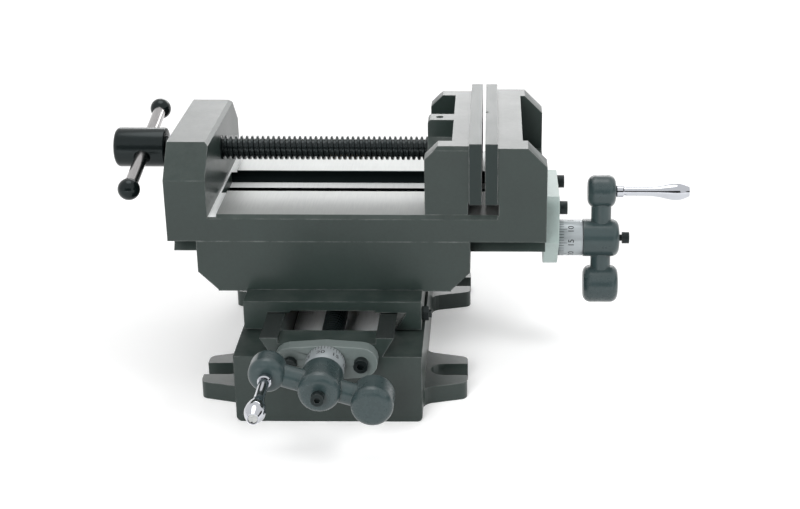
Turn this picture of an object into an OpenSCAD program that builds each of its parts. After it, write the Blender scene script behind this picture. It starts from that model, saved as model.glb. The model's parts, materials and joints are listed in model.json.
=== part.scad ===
// Cross slide vise: a screw vise carried on two dovetail slides, each driven by a lead screw,
// a graduated dial and a balanced crank.
// X runs along the vise screw, Y runs to the back, Z rises from the underside of the base.

/* [Base] */
// Width of the base block
base_w = 132; // [130:1:140]
// Length of the base block from front to back
base_l = 278; // [270:1:300]
// Height of the base block
base_h = 51; // [51:1:58]
// Half width of the open bays under the base
bay_half = 42; // [40:1:48]
// Height of the two bays under the base
bay_h = 27; // [22:1:28]
// Thickness of the deck between the bays and the screw's channel
deck_t = 7; // [5:0.5:8]
// Width of the rib between the bays
rib_w = 16; // [10:1:24]
// Radius of the lower long corners of the block
base_round = 4; // [2:0.5:6]
// Reach of the ears from the block
ear_reach = 31; // [29:1:36]
// Thickness of the ears
ear_t = 13.4; // [10:0.2:16]
// Width of an ear at the block
ear_root_w = 60; // [56:1:66]
// Width of an ear at its tip
ear_tip_w = 45; // [42:1:50]
// Radius of the ear's outer corners
ear_round = 6; // [3:0.5:8]
// Distance from the front bolt slots to the rear ones
ear_pitch = 165; // [150:1:180]
// Width of the open bolt slots
slot_w = 18.7; // [14:0.1:20]
// Metal left between a bolt slot and the block
slot_inset = 4; // [3:1:8]

/* [Cross slide ways] */
// Width of the dovetail over the top of its rails
rail_w = 93.6; // [91:0.2:96]
// Height of the dovetail rails
rail_h = 14.4; // [14:0.2:15]
// Slope of all dovetail flanks
flank_deg = 60; // [57:1:63]
// Width of the channel between the rails
channel_w = 68.4; // [66:0.2:70]
// Thickness of the cross walls at both ends of the channel
cross_wall_t = 22; // [20:1:26]
// Drop of the cross walls below the rails
cross_wall_drop = 4.4; // [3:0.2:5]
// Height of the cross screw's axis above the top of the block
y_screw_rise = 0.5; // [0.2:0.1:0.8]

/* [Saddle] */
// Width of the saddle's foot
saddle_w = 128; // [126:1:130]
// Length of the saddle's foot from front to back
saddle_l = 194; // [186:1:200]
// Height of the saddle's foot
foot_h = 23.4; // [23.2:0.1:25]
// Length of the saddle's upper block along X
top_l = 198; // [190:1:202]
// Height of the saddle's upper block
top_h = 37.8; // [37.5:0.1:39]
// Chamfer under both ends of the upper block
top_chamfer = 14; // [8:1:18]
// Height of the relief under the foot's rim
rim_h = 1.5; // [0.5:0.1:2.5]
// Depth of the relief under the foot's rim
rim_d = 4; // [2:0.5:6]
// Height of the long screw's axis above the foot
x_screw_rise = 12; // [11.8:0.1:12.3]
// Width of the trough for the long screw
trough_w = 36; // [32:1:42]
// Thickness of the gib strips measured level
gib_t = 6; // [5:0.5:7]
// Spacing of the gib screws
gib_pitch = 54; // [50:1:56]

/* [Vise body] */
// Length of the vise body
body_l = 273.5; // [272:0.5:285]
// Width of the vise body
body_w = 151.4; // [149:0.2:155]
// Place of the body's middle along X at rest
body_shift = 17.25; // [15:0.25:20]
// Height of the bed
bed_h = 20; // [19.5:0.1:22]
// Bevel along the bed's edges
bed_lip = 2.7; // [1:0.1:3.5]
// Width of the body's dovetail over its underside
slide_w = 113; // [110:1:116]
// Height of the body's dovetail
slide_h = 15; // [14.5:0.1:15.5]
// Thickness of the upright that holds the screw
upright_t = 30; // [26:1:34]
// Height of the upright above the bed
upright_h = 48; // [46:1:56]
// Chamfer on the upright's top corners
upright_chamfer = 22; // [12:1:24]
// Bevel on the upright's inner top edge
upright_bevel = 2.5; // [1:0.5:4]
// Width of the guide slot in the bed
guide_w = 47; // [43:1:50]
// Depth of the guide slot down to its ledges
guide_d = 10; // [8:0.2:12]
// Width of the gap between the ledges
ledge_gap_w = 23; // [22:1:28]
// Width of the hollow under the ledges
hollow_w = 58; // [56:1:62]
// Start of the slot from the upright
slot_start = 1.5; // [0.5:0.5:3]
// Width of the relief groove at the upright's foot
relief_w = 6; // [4:0.5:9]
// Depth of the relief groove
relief_d = 1.6; // [0.5:0.1:2.5]

/* [Jaws] */
// Height of the jaws above the bed
jaw_h = 51; // [49:1:56]
// Thickness of the fixed jaw
fixed_jaw_t = 35.3; // [34:0.1:38]
// Metal between the fixed jaw's face and its pocket
fixed_web = 17.8; // [16:0.1:19]
// Half width of the fixed jaw's pocket
fixed_pocket = 57; // [50:1:60]
// Chamfer on the fixed jaw's walls
fixed_chamfer = 14; // [8:1:16]
// Height of the fixed jaw's pocket floor above the bed
fixed_floor = 8; // [6:1:14]
// Thickness of the moving jaw
moving_jaw_t = 31.9; // [31:0.1:34]
// Metal between the moving jaw's face and its pocket
moving_web = 12.4; // [11.8:0.1:13]
// Half width of the moving jaw's pocket
moving_pocket = 58; // [52:1:62]
// Chamfer on the moving jaw's walls
moving_chamfer = 9.5; // [6:0.5:12]
// Height of the moving jaw's pocket floor above the bed
moving_floor = 10; // [7:0.5:11]
// Width of the rib over the screw's nose
boss_w = 15; // [13:0.5:18]
// Diameter of the boss round the screw's nose
boss_d = 27; // [25:0.5:29]
// Depth of the recess under each jaw plate
under_plate_d = 0.8; // [0.4:0.2:3]
// Length of the jaw plates
plate_l = 155; // [152:0.5:160]
// Height of the jaw plates
plate_h = 45.8; // [44:0.2:47]
// Thickness of the jaw plates
plate_t = 9; // [8:0.2:10]
// Rise of the plates above the jaws
plate_proud = 3.8; // [2:0.2:5]
// Gap between the plates at rest
jaw_gap = 2.4; // [2.2:0.1:4]
// Width of the upright vee groove in the fixed plate
vee_w = 4; // [2:0.5:6]
// Spacing of the plate screws
plate_screw_pitch = 90; // [80:1:100]
// Thickness of the keeper plate
keeper_t = 6; // [5:0.2:6.6]

/* [Vise screw] */
// Outside diameter of the vise screw
vise_screw_d = 18; // [16:0.5:20]
// Height of the screw's axis above the bed
screw_rise = 26.4; // [25.6:0.1:27.2]
// Diameter of the screw's head
head_d = 29.6; // [27:0.2:31]
// Length of the screw's head
head_l = 38; // [34:1:44]
// Space between the head and the upright at rest
head_gap = 11.6; // [8:0.2:16]
// Rounding of the head's outer edge
head_round = 3.5; // [1:0.5:5]
// Diameter of the screw's nose in the moving jaw
nose_d = 14; // [12:0.5:15]
// Diameter of the retaining pin
pin_d = 5.5; // [4:0.5:6.5]
// Diameter of the tommy bar
bar_d = 9.6; // [8.6:0.2:10.4]
// Distance between the ball ends of the tommy bar
bar_span = 125; // [118:1:140]
// Diameter of the ball ends
ball_d = 16; // [15:0.5:18]
// Slope of the tommy bar at rest
bar_deg = 10.9; // [0:0.1:45]

/* [Lead screws] */
// Outside diameter of the lead screws
lead_d = 16; // [14:0.5:17]
// Length of the long screw inside the end plate
x_screw_l = 244; // [240:1:252]
// Diameter of the screws' outer journals
journal_d = 12; // [10:0.5:13]
// Diameter of the thrust collars
collar_d = 19; // [18:0.2:19.4]
// Thickness of the thrust collars
collar_t = 4; // [3:0.5:6]
// Thickness of both end plates
end_plate_t = 11; // [9:0.5:13]
// Bolt lobe radius of the cross screw's end plate
y_lobe_r = 11.4; // [10:0.2:12]
// Middle radius of the cross screw's end plate
y_plate_r = 13.2; // [12.4:0.1:14]
// Distance between the bolts of the cross screw's end plate
y_bolt_pitch = 49.2; // [47:0.2:51]
// Bolt lobe radius of the long screw's end plate
x_lobe_r = 9; // [7.5:0.1:10]
// Lower radius of the long screw's end plate
x_plate_r = 19.6; // [18:0.2:21]
// Distance between the bolts of the long screw's end plate
x_bolt_pitch = 59; // [54:0.5:62]
// Height of those bolts above the underside of the bed
x_bolt_rise = 9.8; // [8:0.2:12]

/* [Cranks] */
// Diameter of the dials
dial_d = 27.7; // [26:0.1:29]
// Length of the dials
dial_l = 20; // [18:0.5:22]
// Diameter of the crank hubs
hub_d = 29; // [28:0.2:30.6]
// Length of the crank hubs
hub_l = 27.8; // [26:0.2:30]
// Rounding of the hubs' outer edge
hub_round = 6; // [3:0.5:8]
// Diameter of the crank arms
arm_d = 15.5; // [14:0.5:17]
// Distance from the hub's axis to each knob
arm_reach = 36.5; // [34:0.1:36.8]
// Diameter of the knob that carries the handle
knob_d = 25; // [23:0.2:27]
// Width of the knob that carries the handle
knob_w = 21.5; // [19:0.1:23]
// Diameter of the balance weight
weight_d = 29; // [26:0.2:29.6]
// Width of the balance weight
weight_w = 27; // [24:0.2:29]
// Rounding of the knobs' edges
knob_round = 6; // [3:0.5:8]
// Length of the revolving handles
grip_l = 56.3; // [50:0.1:62]
// Largest diameter of the revolving handles
grip_d = 13.8; // [13:0.1:15]
// Turn of the long screw's crank from upright
x_crank_deg = 9; // [-30:1:30]
// Turn of the cross screw's crank from upright
y_crank_deg = -73; // [-110:1:-40]

/* [Screws and clearances] */
// Shank diameter of the cap screws
bolt_d = 6; // [5:0.2:6.6]
// Head diameter of the cap screws
bolt_head_d = 10; // [9:0.2:10.8]
// Head height of the cap screws
bolt_head_h = 6; // [5:0.2:6.6]
// Gap between sliding flanks
way_gap = 0.1; // [0.06:0.02:0.14]
// Radial clearance of a turning shaft
run_gap = 0.05; // [0.03:0.01:0.08]
// Radial clearance of a fixed pin or thread
seat_gap = 0.05; // [0.03:0.01:0.08]
// Clearance over the tops of the dovetails
top_gap = 0.4; // [0.3:0.1:0.6]
// End clearance between turning and standing faces
end_gap = 0.3; // [0.2:0.05:0.4]

/* [Hidden] */
$fn = 64;
// Overlap that lets a cut pass cleanly through a face
cut = 1;
// Steps on each rounded corner
corner_steps = 8;
paint = "#4c5654";
crank_paint = "#5f6b6d";
plate_grey = "#8f9594";
black_steel = "#26282a";
bright_steel = "#c4c6c8";
chrome = "#e4e6ea";
bronze = "#9a7b4a";

// Heights of the stacked slides
z_rail = base_h + rail_h;
z_foot = base_h + foot_h;
z_way = z_foot + top_h;
z_bed = z_way + bed_h;
z_jaw = z_bed + jaw_h;
z_upright = z_bed + upright_h;
z_vise = z_bed + screw_rise;
z_long = z_foot + x_screw_rise;
z_cross = base_h + y_screw_rise;

// Dovetail of the cross slide
rail_neck = rail_w / 2 - rail_h / tan(flank_deg);
z_ceiling = z_rail + top_gap;
z_relief = z_ceiling + 1.5;
relief_half = channel_w / 2 - 3.6;
z_wall = z_rail - cross_wall_drop;

// Dovetail of the long slide
slide_neck = slide_w / 2 - slide_h / tan(flank_deg);
z_slide = z_way - slide_h;
z_groove = z_slide - top_gap;

// Body and jaw faces along X
body_x0 = body_shift - body_l / 2;
body_x1 = body_shift + body_l / 2;
upright_x = body_x0 + upright_t;
fixed_x = body_x1 - fixed_jaw_t;
fixed_face = fixed_x - plate_t;
moving_x1 = fixed_face - jaw_gap - plate_t;
moving_x0 = moving_x1 - moving_jaw_t;
moving_half = body_w / 2 - bed_lip;
pocket_x = moving_x1 - moving_web;
plate_z = z_jaw + plate_proud - plate_h;
slot_x0 = upright_x + slot_start;
slot_x1 = fixed_x - 6.7;

// Ledges, tongue and keeper
z_ledge = z_bed - guide_d;
keeper_gap = 0.2;
keeper_screw_y = ledge_gap_w / 4;
keeper_screw_d = 6;
keeper_x = (moving_x0 + moving_x1) / 2;

// Vise screw stations along X
head_x1 = body_x0 - head_gap;
head_x0 = head_x1 - head_l;
bar_x = (head_x0 + head_x1) / 2 + 2.6;
boss_x = moving_x0;
nose_x = boss_x - end_gap;
nose_x1 = pocket_x + 2;
pin_x = moving_x0 + 8.9;
pin_groove_r = nose_d / 2 - 2.5;
z_pin = z_vise + pin_groove_r + end_gap;

// Crank stack measured outward from the face that carries the end plate
dial_z = end_plate_t + end_gap;
hub_z = end_plate_t + dial_l;
hub_end = hub_z + hub_l;
socket_end = hub_end - 8;
knob_z = hub_z + hub_l / 2;
grip_z = knob_z + knob_w / 2 + end_gap;
stud_z = knob_z - knob_w / 2 + 5;
stud_d = 5;
stud_head_d = 6;
stud_head_h = 2.5;
stud_head_z = grip_z + grip_l - stud_head_h - 0.6;
crank_bolt_d = 5;
crank_bolt_head_d = 9;
crank_bolt_head_h = 5.4;
crank_bolt_stand = 2.5;

// Gib screws
gib_stations = [-1.5 * gib_pitch, -0.5 * gib_pitch, 0.5 * gib_pitch, 1.5 * gib_pitch];
gib_y_z = base_h + rail_h / 2;
gib_x_z = z_way - slide_h / 2;
gib_nut_w = 10;
gib_nut_t = 5;
gib_screw_out = gib_nut_t + 2;
gib_screw_gap = 0.15;
gib_back = way_gap + gib_t + bolt_d / 2 / tan(flank_deg) + gib_screw_gap;

// Nuts of the lead screws
nut_half = 12;
nut_flange_half = 24;
nut_flange_t = x_screw_rise - lead_d / 2 - 0.5;
nut_bolt_d = 5;
nut_screw_head_d = 9.4;
nut_screw_sink = (nut_screw_head_d - nut_bolt_d) / 2;
nut_bolt_reach = 18.5;
nut_thread = 5;

// Screws of the jaw plates
jaw_screw_d = 8;
jaw_screw_head_d = 15;
jaw_screw_sink = 0.5;
jaw_screw_grip = 9;
jaw_screw_z = plate_z + plate_h / 2;

// Points of an arc of radius r about centre c from angle a0 to a1
function arc(c, r, a0, a1) = [for (i = [0 : corner_steps])
  c + r * [cos(a0 + (a1 - a0) * i / corner_steps), sin(a0 + (a1 - a0) * i / corner_steps)]];

// Half width of the cross slide's dovetail at height z
function rail_half(z) = rail_neck + (z - base_h) / tan(flank_deg);
// Half width of the long slide's dovetail at height z
function slide_half(z) = slide_neck + (z_way - z) / tan(flank_deg);

// Extrudes an XZ outline along Y, centred on Y = 0
module along_y(length) {
  translate([0, length / 2, 0]) rotate([90, 0, 0]) linear_extrude(length) children();
}

// Extrudes a YZ outline along X from x0 to x1
module along_x(x0, x1) {
  translate([x0, 0, 0]) rotate([90, 0, 90]) linear_extrude(x1 - x0) children();
}

// Box between two corners
module box(a, b) {
  translate(a) cube(b - a);
}

// Puts a shape built along +Z on to the right, the front or the back
module point_right() {
  rotate([90, 0, 90]) children();
}
module point_front() {
  rotate([90, 0, 0]) children();
}
module point_back() {
  rotate([-90, 0, 0]) children();
}

// Socket head cap screw: the head stands on Z = 0 and the shank points down
module cap_screw(length, d, head_d, head_h) {
  difference() {
    union() {
      cylinder(h = head_h, d = head_d);
      translate([0, 0, -length]) cylinder(h = length + head_h / 3, d = d);
    }
    translate([0, 0, head_h / 2]) cylinder(h = head_h, d = d * 0.9, $fn = 6);
  }
}

// Countersunk screw: the head's face is at Z = 0 and the shank points down
module flat_screw(length, d, head_d) {
  head_h = (head_d - d) / 2;
  difference() {
    union() {
      translate([0, 0, -head_h]) cylinder(h = head_h, d1 = d, d2 = head_d);
      translate([0, 0, -length]) cylinder(h = length - head_h, d = d);
    }
    translate([0, 0, -head_h * 0.7]) cylinder(h = head_h + cut, d = d * 0.55, $fn = 6);
  }
}

// Outline of the base block with its rails in XZ
module base_section() {
  half = base_w / 2;
  polygon(concat(
    arc([-half + base_round, base_round], base_round, 270, 180),
    [[-half, base_h], [-rail_neck, base_h], [-rail_w / 2, z_rail],
     [rail_w / 2, z_rail], [rail_neck, base_h], [half, base_h]],
    arc([half - base_round, base_round], base_round, 0, -90)));
}

// Outline of one ear in XY, reaching towards +X from the block's side
module ear_outline() {
  x0 = base_w / 2;
  x1 = x0 + ear_reach;
  tip = ear_tip_w / 2;
  root = ear_root_w / 2;
  flare = 4;
  polygon(concat(
    [[x0 - 8, -root - flare], [x0, -root - flare], [x0 + 0.8, -root - flare * 0.45],
     [x0 + 2.4, -root], [x0 + flare + 1, -root + flare * 0.4]],
    arc([x1 - ear_round, -tip + ear_round], ear_round, -75, 0),
    arc([x1 - ear_round, tip - ear_round], ear_round, 0, 75),
    [[x0 + flare + 1, root - flare * 0.4], [x0 + 2.4, root], [x0 + 0.8, root + flare * 0.45],
     [x0, root + flare], [x0 - 8, root + flare]]));
}

module ear() {
  slot_x = base_w / 2 + slot_inset + slot_w / 2;
  difference() {
    linear_extrude(ear_t) ear_outline();
    translate([slot_x, 0, -cut]) cylinder(h = ear_t + 2 * cut, d = slot_w);
    box([slot_x, -slot_w / 2, -cut], [base_w / 2 + ear_reach + cut, slot_w / 2, ear_t + cut]);
  }
}

module base_casting() {
  front = -base_l / 2;
  bay_end = base_l / 2 - cross_wall_t;
  color(paint) difference() {
    union() {
      along_y(base_l) base_section();
      for (side = [0, 1], end = [-1, 1])
        mirror([side, 0, 0]) translate([0, end * ear_pitch / 2, 0]) ear();
    }
    box([-channel_w / 2, -bay_end, bay_h + deck_t], [channel_w / 2, bay_end, z_rail + cut]);
    box([-channel_w / 2, front - cut, z_wall], [channel_w / 2, -front + cut, z_rail + cut]);
    for (end = [0, 1]) mirror([0, end, 0])
      box([-bay_half, rib_w / 2, -cut], [bay_half, bay_end, bay_h]);
    for (end = [0, 1]) mirror([0, end, 0]) translate([0, front, z_cross]) point_back()
      translate([0, 0, -cut]) cylinder(h = cross_wall_t + 2 * cut, d = lead_d + 2 * run_gap);
    translate([0, front, z_cross]) point_back() {
      translate([0, 0, -cut]) cylinder(h = collar_t + 2 * end_gap + cut, d = collar_d + 4 * end_gap);
      for (side = [-1, 1]) translate([side * y_bolt_pitch / 2, 0, -cut])
        cylinder(h = 15 + cut, d = bolt_d + 2 * seat_gap);
    }
  }
}

// Outline of the two bolt end plate of the cross screw
module y_plate_outline() {
  reach = y_bolt_pitch / 2;
  tangent = acos((y_plate_r - y_lobe_r) / reach);
  polygon(concat(
    arc([reach, 0], y_lobe_r, -tangent, tangent), arc([0, 0], y_plate_r, tangent, 180 - tangent),
    arc([-reach, 0], y_lobe_r, 180 - tangent, 180 + tangent),
    arc([0, 0], y_plate_r, 180 + tangent, 360 - tangent)));
}

// Holes of an end plate: the journal's bore and two bolt holes
module plate_holes(pitch, rise) {
  translate([0, 0, -cut]) cylinder(h = end_plate_t + 2 * cut, d = journal_d + 2 * run_gap);
  for (side = [-1, 1]) translate([side * pitch / 2, rise, -cut])
    cylinder(h = end_plate_t + 2 * cut, d = bolt_d + 2 * end_gap);
}

module plate_bolts(pitch, rise) {
  for (side = [-1, 1]) translate([side * pitch / 2, rise, end_plate_t])
    cap_screw(end_plate_t + 13, bolt_d, bolt_head_d, bolt_head_h);
}

module y_end_plate() {
  color(plate_grey) at_cross() difference() {
    linear_extrude(end_plate_t) y_plate_outline();
    plate_holes(y_bolt_pitch, 0);
  }
}

module y_plate_bolts() {
  color(black_steel) at_cross() plate_bolts(y_bolt_pitch, 0);
}

// Lead screw along Z: the collar stands behind Z = 0 and the journal reaches out along +Z
module lead_screw(length) {
  tip = socket_end - end_gap;
  difference() {
    union() {
      translate([0, 0, -length]) cylinder(h = length - end_gap - collar_t / 2, d = lead_d);
      translate([0, 0, -end_gap - collar_t]) cylinder(h = collar_t, d = collar_d);
      translate([0, 0, -end_gap - collar_t / 2]) cylinder(h = tip + end_gap + collar_t / 2, d = journal_d);
    }
    translate([0, 0, tip - 14]) cylinder(h = 14 + cut, d = crank_bolt_d + 2 * seat_gap);
  }
}

module dial() {
  bevel = 0.8;
  difference() {
    rotate_extrude() polygon([[0, dial_z], [dial_d / 2 - bevel, dial_z], [dial_d / 2, dial_z + bevel],
      [dial_d / 2, hub_z - bevel], [dial_d / 2 - bevel, hub_z], [0, hub_z]]);
    translate([0, 0, dial_z - cut]) cylinder(h = dial_l + 2 * cut, d = journal_d + 2 * seat_gap);
  }
}

// Rounded drum about Z, centred on Z = 0
module drum(d, w) {
  rotate_extrude() polygon(concat([[0, -w / 2]],
    arc([d / 2 - knob_round, -w / 2 + knob_round], knob_round, -90, 0),
    arc([d / 2 - knob_round, w / 2 - knob_round], knob_round, 0, 90), [[0, w / 2]]));
}

// Balanced crank on a screw along Z: the handle's knob points along +Y and the weight along -Y
module crank() {
  difference() {
    union() {
      rotate_extrude() polygon(concat([[0, hub_z], [hub_d / 2, hub_z]],
        arc([hub_d / 2 - hub_round, hub_end - hub_round], hub_round, 0, 90), [[0, hub_end]]));
      translate([0, 0, knob_z]) {
        rotate([90, 0, 0]) cylinder(h = 2 * arm_reach, d = arm_d, center = true);
        translate([0, arm_reach, 0]) drum(knob_d, knob_w);
        translate([0, -arm_reach, 0]) drum(weight_d, weight_w);
      }
    }
    translate([0, 0, hub_z - cut]) cylinder(h = socket_end - hub_z + cut, d = journal_d + 2 * seat_gap);
    translate([0, 0, hub_z]) cylinder(h = hub_l + cut, d = crank_bolt_d + 2 * seat_gap);
    translate([0, arm_reach, stud_z]) cylinder(h = knob_w, d = stud_d + 2 * seat_gap);
  }
}

module crank_bolt() {
  translate([0, 0, hub_end + crank_bolt_stand])
    cap_screw(crank_bolt_stand + hub_end - socket_end + 10, crank_bolt_d, crank_bolt_head_d, crank_bolt_head_h);
}

// Shoulder stud that the handle turns on
module handle_stud() {
  translate([0, arm_reach, 0]) difference() {
    union() {
      translate([0, 0, stud_z]) cylinder(h = stud_head_z - stud_z + 1, d = stud_d);
      translate([0, 0, stud_head_z]) cylinder(h = stud_head_h, d = stud_head_d);
    }
    translate([-stud_head_d, -0.5, stud_head_z + stud_head_h - 0.9]) cube([2 * stud_head_d, 1, 2]);
  }
}

// Radius of the handle at the share t of its shank: a narrow waist, then a bulb that rounds off
function grip_radius(t) = grip_d / 2 * (t < 0.8 ? 0.51 + 0.49 * pow(sin(90 * t / 0.8), 8)
  : 0.56 + 0.44 * cos(90 * (t - 0.8) / 0.2));

module handle_grip() {
  collar = 6;
  groove = 1.4;
  collar_r = grip_d * 0.34;
  shank = grip_l - collar - groove;
  steps = 24;
  translate([0, arm_reach, grip_z]) difference() {
    rotate_extrude() polygon(concat(
      [[0, 0], [collar_r - 0.8, 0], [collar_r, 0.8], [collar_r, collar - 0.8], [collar_r - 0.8, collar],
       [grip_d * 0.24, collar], [grip_d * 0.24, collar + groove]],
      [for (i = [0 : steps]) [grip_radius(i / steps), collar + groove + shank * i / steps]],
      [[0, grip_l]]));
    translate([0, 0, -cut]) cylinder(h = grip_l + 2 * cut, d = stud_d + 2 * run_gap);
    translate([0, 0, stud_head_z - end_gap - grip_z]) cylinder(h = grip_l, d = stud_head_d + 2 * end_gap);
  }
}

// Places a crank stack on the cross screw at the front, or on the long screw at the right
module at_cross() {
  translate([0, -base_l / 2, z_cross]) point_front() children();
}
module at_long() {
  translate([body_x1, 0, z_long]) point_right() children();
}
module turned_cross() {
  at_cross() rotate([0, 0, -y_crank_deg]) children();
}
module turned_long() {
  at_long() rotate([0, 0, -x_crank_deg]) children();
}

module y_lead_screw() {
  color(black_steel) at_cross() lead_screw(base_l - 2);
}
module y_dial() {
  color(bright_steel) at_cross() dial();
}
module y_crank() {
  color(crank_paint) turned_cross() crank();
}
module y_crank_bolt() {
  color(black_steel) at_cross() crank_bolt();
}
module y_handle_stud() {
  color(bright_steel) turned_cross() handle_stud();
}
module y_handle_grip() {
  color(chrome) turned_cross() handle_grip();
}
module x_lead_screw() {
  color(black_steel) at_long() lead_screw(x_screw_l);
}
module x_dial() {
  color(bright_steel) at_long() dial();
}
module x_crank() {
  color(crank_paint) turned_long() crank();
}
module x_crank_bolt() {
  color(black_steel) at_long() crank_bolt();
}
module x_handle_stud() {
  color(bright_steel) turned_long() handle_stud();
}
module x_handle_grip() {
  color(chrome) turned_long() handle_grip();
}

// Groove under the saddle in XZ, with room for the gib on the right
module y_groove_section() {
  low = base_h - cut;
  right = gib_t + 2 * way_gap;
  polygon([[-rail_half(low) - way_gap, low], [-rail_half(z_ceiling) - way_gap, z_ceiling],
    [-relief_half, z_ceiling], [-relief_half, z_relief], [relief_half, z_relief],
    [relief_half, z_ceiling], [rail_half(z_ceiling) + right, z_ceiling], [rail_half(low) + right, low]]);
}

// Groove in the top of the saddle in YZ, with room for the gib at the back
module x_groove_section() {
  high = z_way + cut;
  back = gib_t + 2 * way_gap;
  polygon([[-slide_half(high) - way_gap, high], [-slide_half(z_groove) - way_gap, z_groove],
    [slide_half(z_groove) + back, z_groove], [slide_half(high) + back, high]]);
}

module saddle() {
  half_top = top_l / 2;
  color(paint) difference() {
    union() {
      box([-saddle_w / 2, -saddle_l / 2, base_h], [saddle_w / 2, saddle_l / 2, z_foot]);
      along_y(body_w) polygon([[-half_top + top_chamfer, z_foot - cut],
        [half_top - top_chamfer, z_foot - cut], [half_top - top_chamfer, z_foot],
        [half_top, z_foot + top_chamfer], [half_top, z_way], [-half_top, z_way],
        [-half_top, z_foot + top_chamfer], [-half_top + top_chamfer, z_foot]]);
    }
    along_y(saddle_l + 2 * cut) y_groove_section();
    along_x(-half_top - cut, half_top + cut) x_groove_section();
    box([-half_top - cut, -trough_w / 2, z_foot], [half_top + cut, trough_w / 2, z_groove + cut]);
    for (end = [0, 1]) mirror([0, end, 0])
      box([-saddle_w, saddle_l / 2 - rim_d, base_h - cut], [saddle_w, saddle_l, base_h + rim_h]);
    for (side = [0, 1]) mirror([side, 0, 0])
      box([saddle_w / 2 - rim_d, -saddle_l, base_h - cut], [saddle_w, saddle_l, base_h + rim_h]);
    for (y = gib_stations) translate([rail_neck, y, gib_y_z]) rotate([0, 90, 0])
      cylinder(h = saddle_w, d = bolt_d + 2 * seat_gap);
    for (x = gib_stations) translate([x, slide_neck, gib_x_z]) point_back()
      cylinder(h = body_w, d = bolt_d + 2 * seat_gap);
    at_y_nut() nut_screw_holes();
    at_x_nut() nut_screw_holes();
  }
}

// Gib strips between the dovetail flanks
module y_gib() {
  low = base_h + end_gap;
  color(bright_steel) along_y(saddle_l - 4) polygon([[rail_half(low) + way_gap, low],
    [rail_half(z_rail) + way_gap, z_rail], [rail_half(z_rail) + way_gap + gib_t, z_rail],
    [rail_half(low) + way_gap + gib_t, low]]);
}

module x_gib() {
  high = z_way - end_gap;
  color(bright_steel) along_x(-top_l / 2 + 2, top_l / 2 - 2) polygon([[slide_half(high) + way_gap, high],
    [slide_half(z_slide) + way_gap, z_slide], [slide_half(z_slide) + way_gap + gib_t, z_slide],
    [slide_half(high) + way_gap + gib_t, high]]);
}

// Gib set screw that enters along -Z from the outer face at Z = 0
module gib_screw(length) {
  difference() {
    translate([0, 0, -length]) cylinder(h = length + gib_screw_out, d = bolt_d);
    translate([-bolt_d, -0.5, gib_screw_out - 1]) cube([2 * bolt_d, 1, 2]);
  }
}

module gib_nut() {
  difference() {
    cylinder(h = gib_nut_t, d = gib_nut_w / cos(30), $fn = 6);
    translate([0, 0, -cut]) cylinder(h = gib_nut_t + 2 * cut, d = bolt_d + 2 * seat_gap);
  }
}

module at_y_gib() {
  for (y = gib_stations) translate([saddle_w / 2, y, gib_y_z]) rotate([0, 90, 0]) children();
}
module at_x_gib() {
  for (x = gib_stations) translate([x, body_w / 2, gib_x_z]) point_back() children();
}

module y_gib_screws() {
  color(black_steel) at_y_gib() gib_screw(saddle_w / 2 - rail_half(gib_y_z) - gib_back);
}
module y_gib_nuts() {
  color(black_steel) at_y_gib() gib_nut();
}
module x_gib_screws() {
  color(black_steel) at_x_gib() gib_screw(body_w / 2 - slide_half(gib_x_z) - gib_back);
}
module x_gib_nuts() {
  color(black_steel) at_x_gib() gib_nut();
}

// Lead screw nut with its flange on Z = 0, its body above it and its bore along X at height rise
module nut(rise) {
  difference() {
    union() {
      box([-nut_half, -nut_half, 0], [nut_half, nut_half, rise + lead_d / 2 + 1.4]);
      box([-nut_flange_half, -nut_half, 0], [nut_flange_half, nut_half, nut_flange_t]);
    }
    translate([-nut_flange_half - cut, 0, rise]) rotate([0, 90, 0])
      cylinder(h = 2 * (nut_flange_half + cut), d = lead_d + 2 * run_gap);
    for (side = [-1, 1]) translate([side * nut_bolt_reach, 0, 0]) {
      translate([0, 0, -cut]) cylinder(h = nut_flange_t + 2 * cut, d = nut_bolt_d + 2 * end_gap);
      translate([0, 0, nut_flange_t - nut_screw_sink]) cylinder(h = nut_screw_sink + cut,
        d1 = nut_bolt_d + 2 * end_gap, d2 = nut_screw_head_d + 2 * (end_gap + cut));
    }
  }
}

module nut_screws() {
  for (side = [-1, 1]) translate([side * nut_bolt_reach, 0, nut_flange_t])
    flat_screw(nut_flange_t + nut_thread - 0.5, nut_bolt_d, nut_screw_head_d);
}

module nut_screw_holes() {
  for (side = [-1, 1]) translate([side * nut_bolt_reach, 0, -nut_thread])
    cylinder(h = nut_thread + cut, d = nut_bolt_d + 2 * seat_gap);
}

module at_y_nut() {
  translate([0, 0, z_relief]) mirror([0, 0, 1]) rotate([0, 0, 90]) children();
}
module at_x_nut() {
  translate([0, 0, z_foot]) children();
}
module y_nut() {
  color(bronze) at_y_nut() nut(z_relief - z_cross);
}
module y_nut_screws() {
  color(black_steel) at_y_nut() nut_screws();
}
module x_nut() {
  color(bronze) at_x_nut() nut(z_long - z_foot);
}
module x_nut_screws() {
  color(black_steel) at_x_nut() nut_screws();
}

// Outline of the bed and its dovetail in YZ
module bed_section() {
  half = body_w / 2;
  polygon([[-slide_neck, z_way], [-slide_w / 2, z_slide], [slide_w / 2, z_slide], [slide_neck, z_way],
    [half, z_way], [half, z_bed - bed_lip], [half - bed_lip, z_bed], [-half + bed_lip, z_bed],
    [-half, z_bed - bed_lip], [-half, z_way]]);
}

// Stepped guide slot through the bed in YZ: wide above, narrow between the ledges, wide below
module guide_section() {
  top = guide_w / 2;
  neck = ledge_gap_w / 2;
  low = hollow_w / 2;
  polygon([[-top, z_bed + cut], [-top, z_ledge], [-neck, z_ledge], [-neck, z_way], [-low, z_way],
    [-low, z_slide - cut], [low, z_slide - cut], [low, z_way], [neck, z_way], [neck, z_ledge],
    [top, z_ledge], [top, z_bed + cut]]);
}

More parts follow.
